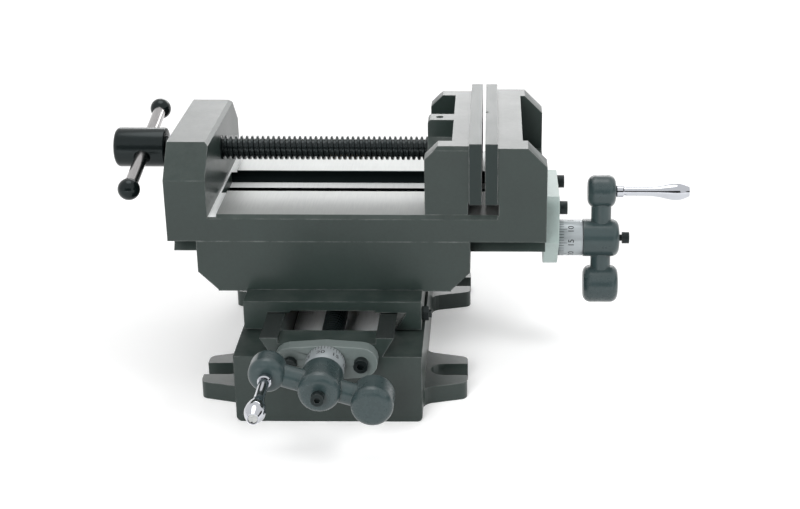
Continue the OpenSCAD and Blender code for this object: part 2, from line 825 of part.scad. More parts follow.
// Outline of the upright in YZ with its chamfered top corners
module upright_section() {
  half = body_w / 2;
  polygon([[-half, z_way], [half, z_way], [half, z_upright - upright_chamfer],
    [half - upright_chamfer, z_upright], [-half + upright_chamfer, z_upright],
    [-half, z_upright - upright_chamfer]]);
}

module vise_body() {
  half = body_w / 2;
  color(paint) difference() {
    union() {
      along_x(body_x0, body_x1) bed_section();
      intersection() {
        along_x(body_x0, upright_x) upright_section();
        along_y(body_w) polygon([[body_x0, z_way], [upright_x, z_way], [upright_x, z_upright - upright_bevel],
          [upright_x - upright_bevel, z_upright], [body_x0, z_upright]]);
      }
      along_y(body_w) polygon([[fixed_x, z_way], [body_x1, z_way], [body_x1, z_jaw - fixed_chamfer],
        [body_x1 - fixed_chamfer, z_jaw], [fixed_x, z_jaw]]);
    }
    along_x(slot_x0, slot_x1) guide_section();
    box([upright_x, -half - cut, z_bed - relief_d], [upright_x + relief_w, half + cut, z_bed + cut]);
    box([fixed_x - cut, -half - cut, z_bed], [fixed_x + under_plate_d, half + cut, plate_z]);
    box([fixed_x + fixed_web, -fixed_pocket, z_bed + fixed_floor], [body_x1 + cut, fixed_pocket, z_jaw + cut]);
    translate([body_x0 - cut, 0, z_vise]) rotate([0, 90, 0])
      cylinder(h = upright_t + 2 * cut, d = vise_screw_d + 2 * run_gap);
    for (side = [-1, 1]) {
      translate([body_x1 - 15, side * x_bolt_pitch / 2, z_way + x_bolt_rise]) rotate([0, 90, 0])
        cylinder(h = 15 + cut, d = bolt_d + 2 * seat_gap);
      translate([fixed_x - cut, side * plate_screw_pitch / 2, jaw_screw_z]) rotate([0, 90, 0])
        cylinder(h = jaw_screw_grip + 1 + cut, d = jaw_screw_d + 2 * seat_gap);
    }
  }
}

// Outline of the long screw's end plate: two bolt lobes, straight sides and a round foot on the axis
module x_plate_outline() {
  reach = x_bolt_pitch / 2;
  rise = z_way + x_bolt_rise - z_long;
  side = reach + x_lobe_r;
  shoulder = side - x_plate_r * sqrt(2);
  polygon(concat([[side, shoulder]], arc([reach, rise], x_lobe_r, 0, 90),
    arc([-reach, rise], x_lobe_r, 90, 180), [[-side, shoulder]], arc([0, 0], x_plate_r, 225, 315)));
}

module x_end_plate() {
  color(plate_grey) at_long() difference() {
    linear_extrude(end_plate_t) x_plate_outline();
    plate_holes(x_bolt_pitch, z_way + x_bolt_rise - z_long);
  }
}

module x_plate_bolts() {
  color(black_steel) at_long() plate_bolts(x_bolt_pitch, z_way + x_bolt_rise - z_long);
}

// Jaw plate standing on X = 0 with its working face at X = -plate_t
module jaw_plate(vee) {
  head_h = (jaw_screw_head_d - jaw_screw_d) / 2;
  difference() {
    box([-plate_t, -plate_l / 2, plate_z], [0, plate_l / 2, plate_z + plate_h]);
    for (side = [-1, 1]) translate([-plate_t, side * plate_screw_pitch / 2, jaw_screw_z]) rotate([0, 90, 0]) {
      translate([0, 0, -cut]) cylinder(h = plate_t + 2 * cut, d = jaw_screw_d + 2 * end_gap);
      translate([0, 0, -cut]) cylinder(h = jaw_screw_sink + cut, d = jaw_screw_head_d + 2 * end_gap);
      translate([0, 0, jaw_screw_sink])
        cylinder(h = head_h, d1 = jaw_screw_head_d + 2 * end_gap, d2 = jaw_screw_d + 2 * end_gap);
    }
    if (vee) translate([-plate_t, 0, plate_z - cut]) linear_extrude(plate_h + 2 * cut)
      polygon([[-cut, -vee_w / 2 - cut], [vee_w / 2, 0], [-cut, vee_w / 2 + cut]]);
  }
}

module jaw_screws() {
  for (side = [-1, 1]) translate([jaw_screw_sink - plate_t, side * plate_screw_pitch / 2, jaw_screw_z])
    rotate([0, -90, 0]) flat_screw(plate_t - jaw_screw_sink + jaw_screw_grip, jaw_screw_d, jaw_screw_head_d);
}

module fixed_jaw_plate() {
  color(bright_steel) translate([fixed_x, 0, 0]) jaw_plate(true);
}
module fixed_jaw_screws() {
  color(black_steel) translate([fixed_x, 0, 0]) jaw_screws();
}
module moving_jaw_plate() {
  color(bright_steel) translate([moving_x1, 0, 0]) mirror([1, 0, 0]) jaw_plate(false);
}
module moving_jaw_screws() {
  color(black_steel) translate([moving_x1, 0, 0]) mirror([1, 0, 0]) jaw_screws();
}

// Outline of the moving jaw in YZ with its bevelled top edges
module moving_section() {
  polygon([[-moving_half, z_bed], [moving_half, z_bed], [moving_half, z_jaw - bed_lip],
    [moving_half - bed_lip, z_jaw], [-moving_half + bed_lip, z_jaw], [-moving_half, z_jaw - bed_lip]]);
}

module moving_jaw() {
  tongue = guide_w / 2 - 2 * way_gap;
  stem = ledge_gap_w / 2 - 2 * way_gap;
  color(paint) difference() {
    union() {
      difference() {
        intersection() {
          along_x(moving_x0, moving_x1) moving_section();
          along_y(body_w) polygon([[moving_x0, z_bed], [moving_x1, z_bed], [moving_x1, z_jaw],
            [moving_x0 + moving_chamfer, z_jaw], [moving_x0, z_jaw - moving_chamfer]]);
        }
        box([moving_x0 - cut, -moving_pocket, z_bed + moving_floor], [pocket_x, moving_pocket, z_jaw + cut]);
        box([moving_x1 - under_plate_d, -body_w, z_bed - cut], [moving_x1 + cut, body_w, plate_z]);
      }
      along_y(boss_w) polygon(concat([[boss_x, z_bed + 2], [pocket_x + cut, z_bed + 2], [pocket_x + cut, z_jaw]],
        arc([boss_x + 3, z_jaw - 3], 3, 90, 180)));
      translate([boss_x, 0, z_vise]) rotate([0, 90, 0]) cylinder(h = pocket_x + cut - boss_x, d = boss_d);
      box([moving_x0, -tongue, z_ledge], [moving_x1 - under_plate_d, tongue, z_bed + cut]);
      box([moving_x0, -stem, z_way - keeper_gap], [moving_x1 - under_plate_d, stem, z_ledge + cut]);
    }
    translate([boss_x - cut, 0, z_vise]) rotate([0, 90, 0])
      cylinder(h = nose_x1 + end_gap - boss_x + cut, d = nose_d + 2 * run_gap);
    translate([pin_x, 0, z_vise]) cylinder(h = jaw_h, d = pin_d + 2 * seat_gap);
    for (side = [-1, 1]) {
      translate([keeper_x, side * keeper_screw_y, z_way - cut])
        cylinder(h = 14, d = keeper_screw_d + 2 * seat_gap);
      translate([moving_x1 - jaw_screw_grip - 1, side * plate_screw_pitch / 2, jaw_screw_z]) rotate([0, 90, 0])
        cylinder(h = jaw_screw_grip + 1 + cut, d = jaw_screw_d + 2 * seat_gap);
    }
  }
}

// Keeper plate that hooks the moving jaw under the ledges of the bed
module jaw_keeper() {
  top = z_way - keeper_gap;
  half = hollow_w / 2 - 1;
  color(bright_steel) difference() {
    box([moving_x0 + 1, -half, top - keeper_t], [moving_x1 - under_plate_d - 1, half, top]);
    for (side = [-1, 1]) translate([keeper_x, side * keeper_screw_y, top - keeper_t - cut])
      cylinder(h = keeper_t + 2 * cut, d = keeper_screw_d + 2 * end_gap);
  }
}

module keeper_screws() {
  color(black_steel) for (side = [-1, 1])
    translate([keeper_x, side * keeper_screw_y, z_way - keeper_gap - keeper_t]) mirror([0, 0, 1])
      cap_screw(keeper_t + 12, keeper_screw_d, 10, 4.5);
}

// Pin from the jaw's top that rides in the groove of the screw's nose
module screw_retaining_pin() {
  color(black_steel) translate([pin_x, 0, z_pin]) cylinder(h = z_jaw - 1.5 - z_pin, d = pin_d);
}

module vise_screw() {
  groove_half = pin_d / 2 + end_gap;
  color(black_steel) difference() {
    translate([0, 0, z_vise]) point_right() rotate_extrude() polygon(concat(
      [[0, head_x0]], arc([head_d / 2 - head_round, head_x0 + head_round], head_round, -90, 0),
      [[head_d / 2, head_x1 - 1], [head_d / 2 - 1, head_x1], [vise_screw_d / 2, head_x1],
       [vise_screw_d / 2, nose_x], [nose_d / 2, nose_x], [nose_d / 2, pin_x - groove_half],
       [pin_groove_r, pin_x - groove_half], [pin_groove_r, pin_x + groove_half],
       [nose_d / 2, pin_x + groove_half], [nose_d / 2, nose_x1], [0, nose_x1]]));
    at_bar() cylinder(h = 2 * head_d, d = bar_d + 2 * run_gap, center = true);
  }
}

module at_bar() {
  translate([bar_x, 0, z_vise]) rotate([bar_deg - 90, 0, 0]) children();
}

spigot_d = bar_d - 2.6;
spigot_l = ball_d * 0.36;
ball_flat = sqrt(pow(ball_d / 2, 2) - pow(bar_d / 2, 2));
bar_shoulder = bar_span / 2 - ball_flat;

// Bar with reduced ends that the balls screw on to
module tommy_bar() {
  color(black_steel) at_bar() union() {
    cylinder(h = 2 * bar_shoulder, d = bar_d, center = true);
    cylinder(h = 2 * (bar_shoulder + spigot_l), d = spigot_d, center = true);
  }
}

module tommy_balls() {
  color(black_steel) at_bar() for (end = [0, 1]) mirror([0, 0, end]) translate([0, 0, bar_span / 2])
    difference() {
      sphere(d = ball_d);
      translate([0, 0, -ball_d]) cylinder(h = ball_d - ball_flat, d = ball_d);
      translate([0, 0, -ball_d])
        cylinder(h = ball_d - ball_flat + spigot_l + end_gap, d = spigot_d + 2 * seat_gap);
    }
}

base_casting();
y_end_plate();
y_plate_bolts();
y_lead_screw();
y_dial();
y_crank();
y_crank_bolt();
y_handle_stud();
y_handle_grip();
saddle();
y_gib();
y_gib_screws();
y_gib_nuts();
x_gib();
x_gib_screws();
x_gib_nuts();
y_nut();
y_nut_screws();
x_nut();
x_nut_screws();
vise_body();
x_end_plate();
x_plate_bolts();
x_lead_screw();
x_dial();
x_crank();
x_crank_bolt();
x_handle_stud();
x_handle_grip();
fixed_jaw_plate();
fixed_jaw_screws();
moving_jaw();
moving_jaw_plate();
moving_jaw_screws();
jaw_keeper();
keeper_screws();
screw_retaining_pin();
vise_screw();
tommy_bar();
tommy_balls();
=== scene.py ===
import json
import math

import bmesh
import bpy
from bpy.props import FloatProperty, FloatVectorProperty, IntProperty, PointerProperty
from mathutils import Matrix, Vector


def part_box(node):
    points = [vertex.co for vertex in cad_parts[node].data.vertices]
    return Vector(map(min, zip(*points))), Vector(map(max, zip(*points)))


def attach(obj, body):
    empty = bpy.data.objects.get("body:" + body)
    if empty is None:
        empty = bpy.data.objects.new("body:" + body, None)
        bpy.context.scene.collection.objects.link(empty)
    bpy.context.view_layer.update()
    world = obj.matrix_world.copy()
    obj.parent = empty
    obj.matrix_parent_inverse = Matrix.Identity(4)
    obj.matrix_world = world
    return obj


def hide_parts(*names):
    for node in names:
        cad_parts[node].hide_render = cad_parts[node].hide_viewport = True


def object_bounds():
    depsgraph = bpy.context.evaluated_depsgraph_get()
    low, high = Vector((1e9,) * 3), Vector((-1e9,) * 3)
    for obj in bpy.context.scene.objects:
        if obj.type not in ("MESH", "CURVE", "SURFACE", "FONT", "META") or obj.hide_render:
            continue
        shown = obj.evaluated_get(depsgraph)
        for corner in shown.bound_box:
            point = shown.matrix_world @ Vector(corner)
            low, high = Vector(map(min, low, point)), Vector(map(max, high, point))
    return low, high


bl_info = {
    "name": "Cross slide vise finishes",
    "version": (1, 0, 0),
    "blender": (4, 5, 0),
    "location": "3D View > Sidebar > Cross vise",
    "description": "Finishes, threads, dial marks and studio for a cross slide vise",
    "category": "Object",
}

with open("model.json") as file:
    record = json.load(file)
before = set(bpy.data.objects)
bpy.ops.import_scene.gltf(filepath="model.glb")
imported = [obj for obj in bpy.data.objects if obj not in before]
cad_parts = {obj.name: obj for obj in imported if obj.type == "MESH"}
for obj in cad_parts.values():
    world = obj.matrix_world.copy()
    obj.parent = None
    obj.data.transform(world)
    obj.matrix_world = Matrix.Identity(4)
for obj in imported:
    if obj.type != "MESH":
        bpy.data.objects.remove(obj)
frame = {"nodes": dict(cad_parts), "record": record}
CAD_NODES = frame["nodes"]
CAD_BOX = [[float(c) for c in corner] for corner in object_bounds()]
MM = 0.001
TURN = 2 * math.pi
# Travel of a slide for one turn of its screw
SCREW_PITCH = TURN / frame["record"]["behaviour"]["couplings"][0]["ratio"]

CASTINGS = ("base_casting", "saddle", "vise_body", "moving_jaw")
CRANKS = ("x_crank", "y_crank")
END_PLATES = ("x_end_plate", "y_end_plate")
JAW_PLATES = ("fixed_jaw_plate", "moving_jaw_plate")
DIALS = ("x_dial", "y_dial")
HANDLES = ("x_handle_grip", "y_handle_grip")
NUTS = ("x_nut", "y_nut")
GROUND_STEEL = ("x_gib", "y_gib", "jaw_keeper", "x_handle_stud", "y_handle_stud")
CAP_SCREWS = ("x_plate_bolts", "y_plate_bolts", "x_crank_bolt", "y_crank_bolt", "keeper_screws",
              "fixed_jaw_screws", "moving_jaw_screws", "x_nut_screws", "y_nut_screws")
GIB_SCREWS = ("x_gib_screws", "y_gib_screws", "x_gib_nuts", "y_gib_nuts")
TURNED_STEEL = ("tommy_balls", "screw_retaining_pin")
RUBBED_STEEL = ("tommy_bar",)

# Machined faces, and the slot's rear walls that take painted shade: middle and half height of each band, in
# mm above the base's underside
RAIL_TOPS = (65.4, 0.3)
RAIL_FLANKS = (58.2, 7.3)
CHANNEL_FLOOR = (34.0, 0.4)
SADDLE_TOP = (112.2, 0.3)
SADDLE_FLANKS = (104.7, 7.6)
BED_TOP = (132.2, 0.3)
RELIEF_FLOOR = (131.0, 0.8)
SLOT_LEDGES = (122.2, 0.3)
SLOT_WALL_SHADE = (115.0, 16.4)
# Distance from the middle plane in mm: just past the slot's walls, and past every face
SLOT_REACH = 24.5
FULL_REACH = 300.0
# Axis that decides which way a face looks, with the limits of its normal along that axis
FACES_UP = ("Z", 0.8, 2.0)
FACES_UNDERCUT = ("Z", -0.95, -0.2)
FACES_FORWARD = ("Y", -1.1, -0.8)

DUST_COLOUR = (0.45, 0.45, 0.43, 1.0)
WHITE = (1.0, 1.0, 1.0, 1.0)


def colour(label, text, value):
    return FloatVectorProperty(name=label, description=text, default=value, size=3, subtype="COLOR",
                               min=0.0, max=1.0)


def length(label, text, value):
    return FloatProperty(name=label, description=text, default=value, min=0.0, subtype="DISTANCE",
                         unit="LENGTH", precision=5)


def angle(label, text, degrees):
    return FloatProperty(name=label, description=text, default=math.radians(degrees), subtype="ANGLE",
                         unit="ROTATION")


class VISE_PG_sizes(bpy.types.PropertyGroup):
    """Sizes of the threads, the dial marks and the broken edges"""
    pitch: length("Pitch", "Advance of each screw in one turn", SCREW_PITCH)
    thread_depth: length("Thread depth", "Depth of the vise screw's trapezoid thread", 2.2 * MM)
    casting_edge: length("Casting edge", "Rounding on the edges of the castings", 0.9 * MM)
    plate_edge: length("Plate edge", "Rounding on end plates, jaw plates and dials", 0.5 * MM)
    screw_edge: length("Screw edge", "Rounding on screw heads and nuts", 0.35 * MM)
    divisions: IntProperty(name="Divisions", description="Marks round each dial", default=40, min=4, max=200)
    numbered: IntProperty(name="Numbered", description="Marks from one number to the next", default=5, min=1)
    short_mark: length("Short mark", "Length of a plain mark", 4.6 * MM)
    long_mark: length("Long mark", "Length of a numbered mark", 6.9 * MM)
    mark_width: length("Mark width", "Width of every mark", 0.34 * MM)
    number_height: length("Number height", "Height of the dial numbers", 4.6 * MM)
    x_dial_zero: angle("Long dial zero", "Turn of the long dial's zero at rest", 41.3)
    y_dial_zero: angle("Cross dial zero", "Turn of the cross dial's zero at rest", -82.0)


class VISE_PG_finishes(bpy.types.PropertyGroup):
    """Colours of the vise's finishes"""
    casting: colour("Casting paint", "Dark green-grey paint on the castings", (0.018, 0.028, 0.025))
    crank: colour("Crank paint", "Blue-grey paint on the cranks", (0.029, 0.046, 0.048))
    # One plate paint in two tones: lighter on the right end plate as painted light, darker on the front end
    # plate as painted shade.
    long_plate: colour("Long plate paint", "Pale grey paint on the right end plate", (0.37, 0.455, 0.435))
    cross_plate: colour("Cross plate paint", "Grey paint on the front end plate", (0.12, 0.145, 0.14))
    # On the guide slot's rear walls this black stands in for shade: painted shade, not steel.
    black: colour("Black oxide", "Dark steel of screws, ball ends and slot walls", (0.007, 0.012, 0.0125))
    bar: colour("Tommy bar", "Bright steel of the tommy bar, rubbed smooth by hands", (0.38, 0.37, 0.37))
    ground: colour("Ground steel", "Ground steel of gibs, plates and worn edges", (0.45, 0.46, 0.455))
    way: colour("Milled way", "Milled tops of the bed and the saddle", (0.31, 0.32, 0.315))
    rail: colour("Oiled rail", "Oiled tops of the base's rails", (0.26, 0.27, 0.27))
    # Pale and not metallic: painted highlight on the slot ledges and the relief groove floor, and painted
    # light on the channel floor that lies in the saddle's shade.
    bare: colour("Bare iron", "Milled iron of ledges, relief groove and channel", (0.93, 0.95, 0.95))
    jaw: colour("Jaw plate", "Hardened jaw plates", (0.010, 0.018, 0.017))
    dial: colour("Dial silver", "Satin silver of the dials", (0.35, 0.38, 0.395))
    ink: colour("Mark ink", "Black of the dial marks and numbers", (0.012, 0.012, 0.013))
    chrome: colour("Handle chrome", "Polished chrome of the handles", (0.50, 0.515, 0.55))
    bronze: colour("Nut bronze", "Machined bronze of the nuts", (0.50, 0.34, 0.15))
    floor: colour("Floor", "Pale studio floor", (0.90, 0.90, 0.90))


def sizes():
    return bpy.context.scene.cross_vise_sizes


def tint(name):
    return (*getattr(bpy.context.scene.cross_vise_finishes, name), 1.0)


# Shader building blocks

def feed(tree, socket, value):
    if isinstance(value, bpy.types.NodeSocket):
        tree.links.new(value, socket)
    else:
        socket.default_value = value


def math_of(tree, operation, first, second=0.0, third=None, clamp=False):
    node = tree.nodes.new("ShaderNodeMath")
    node.operation = operation
    node.use_clamp = clamp
    feed(tree, node.inputs[0], first)
    feed(tree, node.inputs[1], second)
    if third is not None:
        feed(tree, node.inputs[2], third)
    return node.outputs[0]


def mix_values(tree, factor, first, second):
    node = tree.nodes.new("ShaderNodeMix")
    node.data_type = "FLOAT"
    feed(tree, node.inputs[0], factor)
    feed(tree, node.inputs[2], first)
    feed(tree, node.inputs[3], second)
    return node.outputs[0]


def mix_colours(tree, factor, first, second, blend="MIX"):
    node = tree.nodes.new("ShaderNodeMix")
    node.data_type = "RGBA"
    node.blend_type = blend
    feed(tree, node.inputs[0], factor)
    feed(tree, node.inputs[6], first)
    feed(tree, node.inputs[7], second)
    return node.outputs[2]


def noise(tree, vector, scale, detail=4.0, roughness=0.55):
    node = tree.nodes.new("ShaderNodeTexNoise")
    feed(tree, node.inputs["Vector"], vector)
    feed(tree, node.inputs["Scale"], scale)
    node.inputs["Detail"].default_value = detail
    node.inputs["Roughness"].default_value = roughness
    return node.outputs[0]


def spread(tree, value, low, high, to_low=0.0, to_high=1.0):
    node = tree.nodes.new("ShaderNodeMapRange")
    feed(tree, node.inputs["Value"], value)
    node.inputs["From Min"].default_value = low
    node.inputs["From Max"].default_value = high
    feed(tree, node.inputs["To Min"], to_low)
    feed(tree, node.inputs["To Max"], to_high)
    return node.outputs[0]


def here(tree):
    return tree.nodes.new("ShaderNodeTexCoord").outputs["Object"]


def facing(tree):
    return tree.nodes.new("ShaderNodeTexCoord").outputs["Normal"]


def parts_of(tree, vector):
    node = tree.nodes.new("ShaderNodeSeparateXYZ")
    feed(tree, node.inputs[0], vector)
    return node.outputs


def new_group(name, inputs, outputs):
    tree = bpy.data.node_groups.new(name, "ShaderNodeTree")
    for label, kind, value in inputs:
        tree.interface.new_socket(label, in_out="INPUT", socket_type=kind).default_value = value
    for label, kind in outputs:
        tree.interface.new_socket(label, in_out="OUTPUT", socket_type=kind)
    return tree, tree.nodes.new("NodeGroupInput").outputs, tree.nodes.new("NodeGroupOutput").inputs


def edge_wear_group():
    tree, given, result = new_group(
        "Edge wear", [("Radius", "NodeSocketFloat", 1.2 * MM), ("Patchiness", "NodeSocketFloat", 90.0),
                      ("Amount", "NodeSocketFloat", 0.5)], [("Mask", "NodeSocketFloat")])
    rounded = tree.nodes.new("ShaderNodeBevel")
    rounded.samples = 4
    feed(tree, rounded.inputs["Radius"], given["Radius"])
    turn = tree.nodes.new("ShaderNodeVectorMath")
    turn.operation = "DOT_PRODUCT"
    feed(tree, turn.inputs[0], rounded.outputs[0])
    feed(tree, turn.inputs[1], tree.nodes.new("ShaderNodeNewGeometry").outputs["True Normal"])
    bend = math_of(tree, "SUBTRACT", 1.0, turn.outputs["Value"])
    gain = 9.0
    bend = math_of(tree, "MULTIPLY", bend, gain, clamp=True)
    patches = spread(tree, noise(tree, here(tree), given["Patchiness"]), 0.36, 0.64)
    bend = math_of(tree, "MULTIPLY", bend, patches, clamp=True)
    feed(tree, result["Mask"], math_of(tree, "MULTIPLY", bend, given["Amount"], clamp=True))
    return tree


def cast_grain_group():
    tree, given, result = new_group(
        "Cast grain", [("Scale", "NodeSocketFloat", 420.0), ("Mottle", "NodeSocketFloat", 0.2)],
        [("Tone", "NodeSocketFloat"), ("Height", "NodeSocketFloat")])
    place = here(tree)
    broad = spread(tree, noise(tree, place, scale=22.0), 0.3, 0.7, -1.0, 1.0)
    fine = noise(tree, place, given["Scale"], detail=3.0, roughness=0.6)
    speck = spread(tree, fine, 0.35, 0.65, -0.5, 0.5)
    both = math_of(tree, "ADD", broad, speck)
    feed(tree, result["Tone"], math_of(tree, "MULTIPLY_ADD", both, given["Mottle"], 1.0))
    pits = noise(tree, place, scale=130.0, detail=2.0, roughness=0.5)
    feed(tree, result["Height"], math_of(tree, "ADD", fine, pits))
    return tree


def brushed_grain_group():
    tree, given, result = new_group(
        "Brushed grain", [("Stretch", "NodeSocketVector", (1.0, 1.0, 1.0)),
                          ("Scale", "NodeSocketFloat", 900.0), ("Mottle", "NodeSocketFloat", 0.15)],
        [("Tone", "NodeSocketFloat"), ("Height", "NodeSocketFloat")])
    stretched = tree.nodes.new("ShaderNodeVectorMath")
    stretched.operation = "MULTIPLY"
    feed(tree, stretched.inputs[0], here(tree))
    feed(tree, stretched.inputs[1], given["Stretch"])
    lines = noise(tree, stretched.outputs[0], given["Scale"], detail=5.0, roughness=0.65)
    cloud = noise(tree, here(tree), scale=30.0)
    both = math_of(tree, "ADD", spread(tree, lines, 0.3, 0.7, -1.0, 1.0),
                   spread(tree, cloud, 0.3, 0.7, -0.6, 0.6))
    feed(tree, result["Tone"], math_of(tree, "MULTIPLY_ADD", both, given["Mottle"], 1.0))
    feed(tree, result["Height"], lines)
    return tree


def settled_dust_group():
    tree, given, result = new_group(
        "Settled dust", [("Amount", "NodeSocketFloat", 0.2)], [("Mask", "NodeSocketFloat")])
    up = spread(tree, parts_of(tree, facing(tree))["Z"], 0.4, 1.0)
    clouds = noise(tree, here(tree), scale=60.0, detail=6.0, roughness=0.7)
    clouds = spread(tree, clouds, 0.4, 0.75)
    mask = math_of(tree, "MULTIPLY", up, clouds)
    feed(tree, result["Mask"], math_of(tree, "MULTIPLY", mask, given["Amount"], clamp=True))
    return tree


GROUP_MAKERS = {"Edge wear": edge_wear_group, "Cast grain": cast_grain_group,
                "Brushed grain": brushed_grain_group, "Settled dust": settled_dust_group}


def use_group(tree, name, **values):
    node = tree.nodes.new("ShaderNodeGroup")
    node.node_tree = bpy.data.node_groups.get(name) or GROUP_MAKERS[name]()
    for label, value in values.items():
        node.inputs[label].default_value = value
    return node.outputs


def new_material(name):
    material = bpy.data.materials.new(name)
    material.use_nodes = True
    tree = material.node_tree
    shader = tree.nodes["Principled BSDF"]
    return material, tree, shader.inputs


def bump(tree, sockets, height, strength, distance):
    node = tree.nodes.new("ShaderNodeBump")
    node.inputs["Strength"].default_value = strength
    node.inputs["Distance"].default_value = distance
    feed(tree, node.inputs["Height"], height)
    feed(tree, sockets["Normal"], node.outputs[0])


def scaled_colour(tree, value, tone):
    grey = tree.nodes.new("ShaderNodeCombineColor")
    for socket in grey.inputs[:3]:
        feed(tree, socket, tone)
    return mix_colours(tree, 1.0, value, grey.outputs[0], "MULTIPLY")


def area(band, faces, shade, metallic, roughness, reach=FULL_REACH):
    """Area of a casting in its own finish, machined or carrying painted light or shade: where it lies and how
    it looks
    """
    return (*band, *faces, reach), shade, metallic, roughness


def face_mask(tree, middle, half, axis, low, high, reach):
    """1 on faces in a height band, within a reach of the middle plane, that face the way the limits say"""
    place = parts_of(tree, here(tree))
    normal = parts_of(tree, facing(tree))[axis]
    level = math_of(tree, "COMPARE", place["Z"], middle * MM, half * MM)
    near = math_of(tree, "COMPARE", place["Y"], 0.0, reach * MM)
    above = math_of(tree, "GREATER_THAN", normal, low)
    below = math_of(tree, "LESS_THAN", normal, high)
    return math_of(tree, "MULTIPLY", math_of(tree, "MULTIPLY", above, below),
                   math_of(tree, "MULTIPLY", level, near))


def painted(name, paint, areas=(), roughness=0.35, wear=0.25, mottle=0.10, dust=0.06, grain=420.0):
    """Paint over cast iron, rubbed at the edges and dusty on top, with each given area in its own finish;
    some areas carry painted highlight, painted light or painted shade
    """
    uneven, worn_metal = 0.25, 0.6
    strokes = (1.0, 0.05, 1.0)
    material, tree, sockets = new_material(name)
    cast = use_group(tree, "Cast grain", Scale=grain, Mottle=mottle)
    base = scaled_colour(tree, tint(paint), cast["Tone"])
    rubbed = use_group(tree, "Edge wear", Amount=wear)["Mask"]
    base = mix_colours(tree, rubbed, base, tint("ground"))
    settled = use_group(tree, "Settled dust", Amount=dust)["Mask"]
    base = mix_colours(tree, settled, base, DUST_COLOUR)
    rough = math_of(tree, "MULTIPLY_ADD", cast["Tone"], uneven, roughness - uneven)
    metal = math_of(tree, "MULTIPLY", rubbed, worn_metal)
    height = cast["Height"]
    for where, shade, metallic, gloss in areas:
        mask = face_mask(tree, *where)
        brushed = use_group(tree, "Brushed grain", Stretch=strokes, Mottle=0.06)
        base = mix_colours(tree, mask, base, scaled_colour(tree, tint(shade), brushed["Tone"]))
        rough = mix_values(tree, mask, rough, gloss)
        metal = mix_values(tree, mask, metal, metallic)
        height = mix_values(tree, mask, height, brushed["Height"])
    feed(tree, sockets["Base Color"], base)
    feed(tree, sockets["Roughness"], rough)
    feed(tree, sockets["Metallic"], metal)
    sockets["Specular IOR Level"].default_value = 0.4
    sockets["Coat Weight"].default_value = 0.10
    sockets["Coat Roughness"].default_value = 0.25
    bump(tree, sockets, height, strength=0.22, distance=0.12 * MM)
    return material


def bare_metal(name, shade, metallic, roughness, stretch=(1.0, 1.0, 1.0), mottle=0.12, wear=0.2,
               strength=0.08):
    """Brushed metal, its grain drawn out along the axes that have a small stretch"""
    material, tree, sockets = new_material(name)
    brushed = use_group(tree, "Brushed grain", Stretch=stretch, Mottle=mottle)
    base = scaled_colour(tree, tint(shade), brushed["Tone"])
    if wear:
        rubbed = use_group(tree, "Edge wear", Radius=0.6 * MM, Amount=wear)["Mask"]
        base = mix_colours(tree, rubbed, base, tint("ground"))
    feed(tree, sockets["Base Color"], base)
    feed(tree, sockets["Roughness"], math_of(tree, "MULTIPLY", brushed["Tone"], roughness, clamp=True))
    sockets["Metallic"].default_value = metallic
    bump(tree, sockets, brushed["Height"], strength, distance=0.05 * MM)
    return material


def jaw_steel(name):
    """Dark hardened plate, ground bright on its face and back and a little on its top"""
    square_on, top_share = 0.6, 0.2
    dark_metal, bright_metal = 0.2, 0.8
    material, tree, sockets = new_material(name)
    brushed = use_group(tree, "Brushed grain", Stretch=(1.0, 0.06, 1.0), Mottle=0.10)
    normal = parts_of(tree, facing(tree))
    side = math_of(tree, "ABSOLUTE", normal["X"])
    ground = math_of(tree, "GREATER_THAN", side, square_on)
    top = math_of(tree, "MULTIPLY", math_of(tree, "GREATER_THAN", normal["Z"], square_on), top_share)
    ground = math_of(tree, "MAXIMUM", ground, top)
    base = mix_colours(tree, ground, tint("jaw"), tint("ground"))
    base = scaled_colour(tree, base, brushed["Tone"])
    rubbed = use_group(tree, "Edge wear", Radius=0.8 * MM, Amount=0.4)["Mask"]
    feed(tree, sockets["Base Color"], mix_colours(tree, rubbed, base, tint("ground")))
    feed(tree, sockets["Roughness"], math_of(tree, "MULTIPLY", brushed["Tone"], 0.40))
    feed(tree, sockets["Metallic"], mix_values(tree, ground, dark_metal, bright_metal))
    sockets["Specular IOR Level"].default_value = 0.4
    bump(tree, sockets, brushed["Height"], strength=0.10, distance=0.05 * MM)
    return material


def finish_nodes(names, material):
    for name in names:
        slots = CAD_NODES[name].material_slots
        if not slots:
            raise RuntimeError("CAD node %s has no material slot" % name)
        for slot in slots:
            slot.material = material


def break_edges(names, width):
    """Rounds the sharp edges of CAD nodes with modifiers, so their meshes stay as they are"""
    join_distance, segments, limit_deg = 0.002 * MM, 2, 32
    for name in names:
        node = CAD_NODES[name]
        weld = node.modifiers.new("Join", "WELD")
        weld.merge_threshold = join_distance
        edge = node.modifiers.new("Broken edges", "BEVEL")
        edge.width = width
        edge.segments = segments
        edge.limit_method = "ANGLE"
        edge.angle_limit = math.radians(limit_deg)
        edge.use_clamp_overlap = True
        edge.harden_normals = True


# Mesh building blocks: every turned piece runs along its own +X axis

SCREW_SEGMENTS = 48


def add_lathe(mesh, profile, segments=64):
    """Surface turned about the own axis from points that give a place along it and a radius"""
    rings = []
    for along, radius in profile:
        if radius <= 0:
            rings.append([mesh.verts.new((along, 0, 0))])
        else:
            rings.append([mesh.verts.new((along, radius * math.cos(TURN * i / segments),
                                          radius * math.sin(TURN * i / segments)))
                          for i in range(segments)])
    for first, second in zip(rings, rings[1:]):
        for i in range(segments):
            j = (i + 1) % segments
            corners = [first[i % len(first)], second[i % len(second)],
                       second[j % len(second)], first[j % len(first)]]
            mesh.faces.new(list(dict.fromkeys(corners)))


def rounded_end(along, radius, round_r, outward):
    """Profile points of a round between a cylinder's side and its flat end"""
    steps = 6
    points = []
    for i in range(steps + 1):
        a = math.pi / 2 * i / steps
        points.append((along - outward * round_r * (1 - math.sin(a)), radius - round_r * (1 - math.cos(a))))
    return points if outward > 0 else points[::-1]


